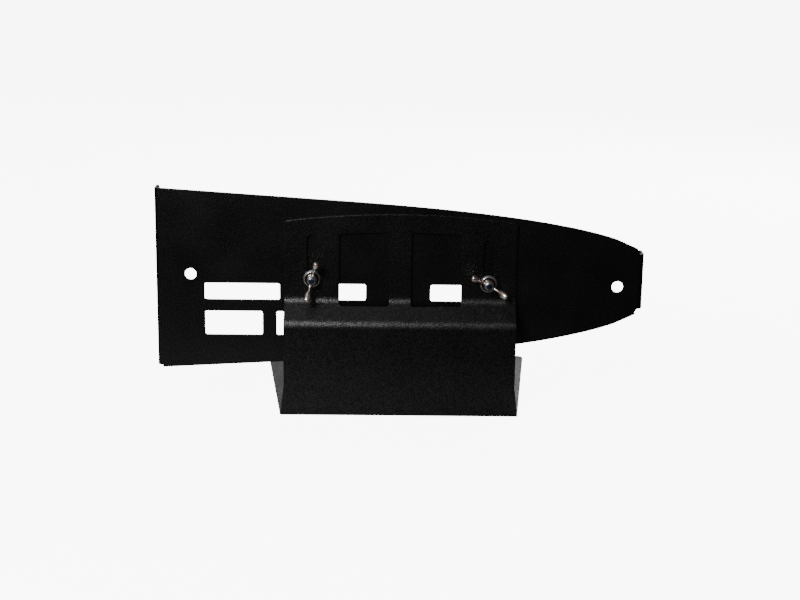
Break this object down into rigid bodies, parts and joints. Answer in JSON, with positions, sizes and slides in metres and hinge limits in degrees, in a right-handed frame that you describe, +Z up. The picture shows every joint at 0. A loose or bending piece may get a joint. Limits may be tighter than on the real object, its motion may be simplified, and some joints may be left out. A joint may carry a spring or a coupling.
{
  "type": "height-adjustable bench stand",
  "caption": "Free-standing bench stand of bent sheet steel, with a tapered cut-out panel that slides up and down on bolts clamped by wing nuts.",
  "frame": {"origin": "on the foot plate's underside, straight under the panel's front face and midway along the panel", "axes": "+X to the right along the panel, towards its narrow end; +Y back from the front face, along the foot plate; +Z up"},
  "size_m": [0.3888, 0.1751, 0.1809],
  "materials": {
    "stand_powder_coat": "fine-textured black powder coat, satin",
    "panel_powder_coat": "fine-textured black powder coat, satin",
    "bolt_zinc": "bright zinc plate",
    "washer_zinc": "bright zinc plate",
    "wing_nut_plate": "bright plated cast wing nut"
  },
  "bodies": {
    "stand": {"stand": "stand_powder_coat"},
    "panel": {"tapered_panel": "panel_powder_coat", "left_carriage_bolt": "bolt_zinc", "right_carriage_bolt": "bolt_zinc"},
    "left_washer": {"left_washer": "washer_zinc"},
    "left_wing_nut": {"left_wing_nut": "wing_nut_plate"},
    "right_washer": {"right_washer": "washer_zinc"},
    "right_wing_nut": {"right_wing_nut": "wing_nut_plate"}
  },
  "joints": [
    {"name": "panel_height", "type": "slide", "parent": "stand", "child": "panel", "axis": [0, 0, 1], "range_m": [0, 0.03]},
    {"name": "left_washer_travel", "type": "slide", "parent": "panel", "child": "left_washer", "axis": [0, -1, 0], "range_m": [0, 0.0031]},
    {"name": "left_nut_turn", "type": "hinge", "parent": "left_washer", "child": "left_wing_nut", "pos_m": [-0.0702, 0, 0.10989], "axis": [0, -1, 0], "range_deg": [0, 1080]},
    {"name": "right_washer_travel", "type": "slide", "parent": "panel", "child": "right_washer", "axis": [0, -1, 0], "range_m": [0, 0.0031]},
    {"name": "right_nut_turn", "type": "hinge", "parent": "right_washer", "child": "right_wing_nut", "pos_m": [0.0702, 0, 0.10696], "axis": [0, -1, 0], "range_deg": [0, 1080]}
  ],
  "couplings": [
    {"joint": "left_washer_travel", "follows": "left_nut_turn", "m_per_rad": 0.00015915},
    {"joint": "right_washer_travel", "follows": "right_nut_turn", "m_per_rad": 0.00015915}
  ]
}
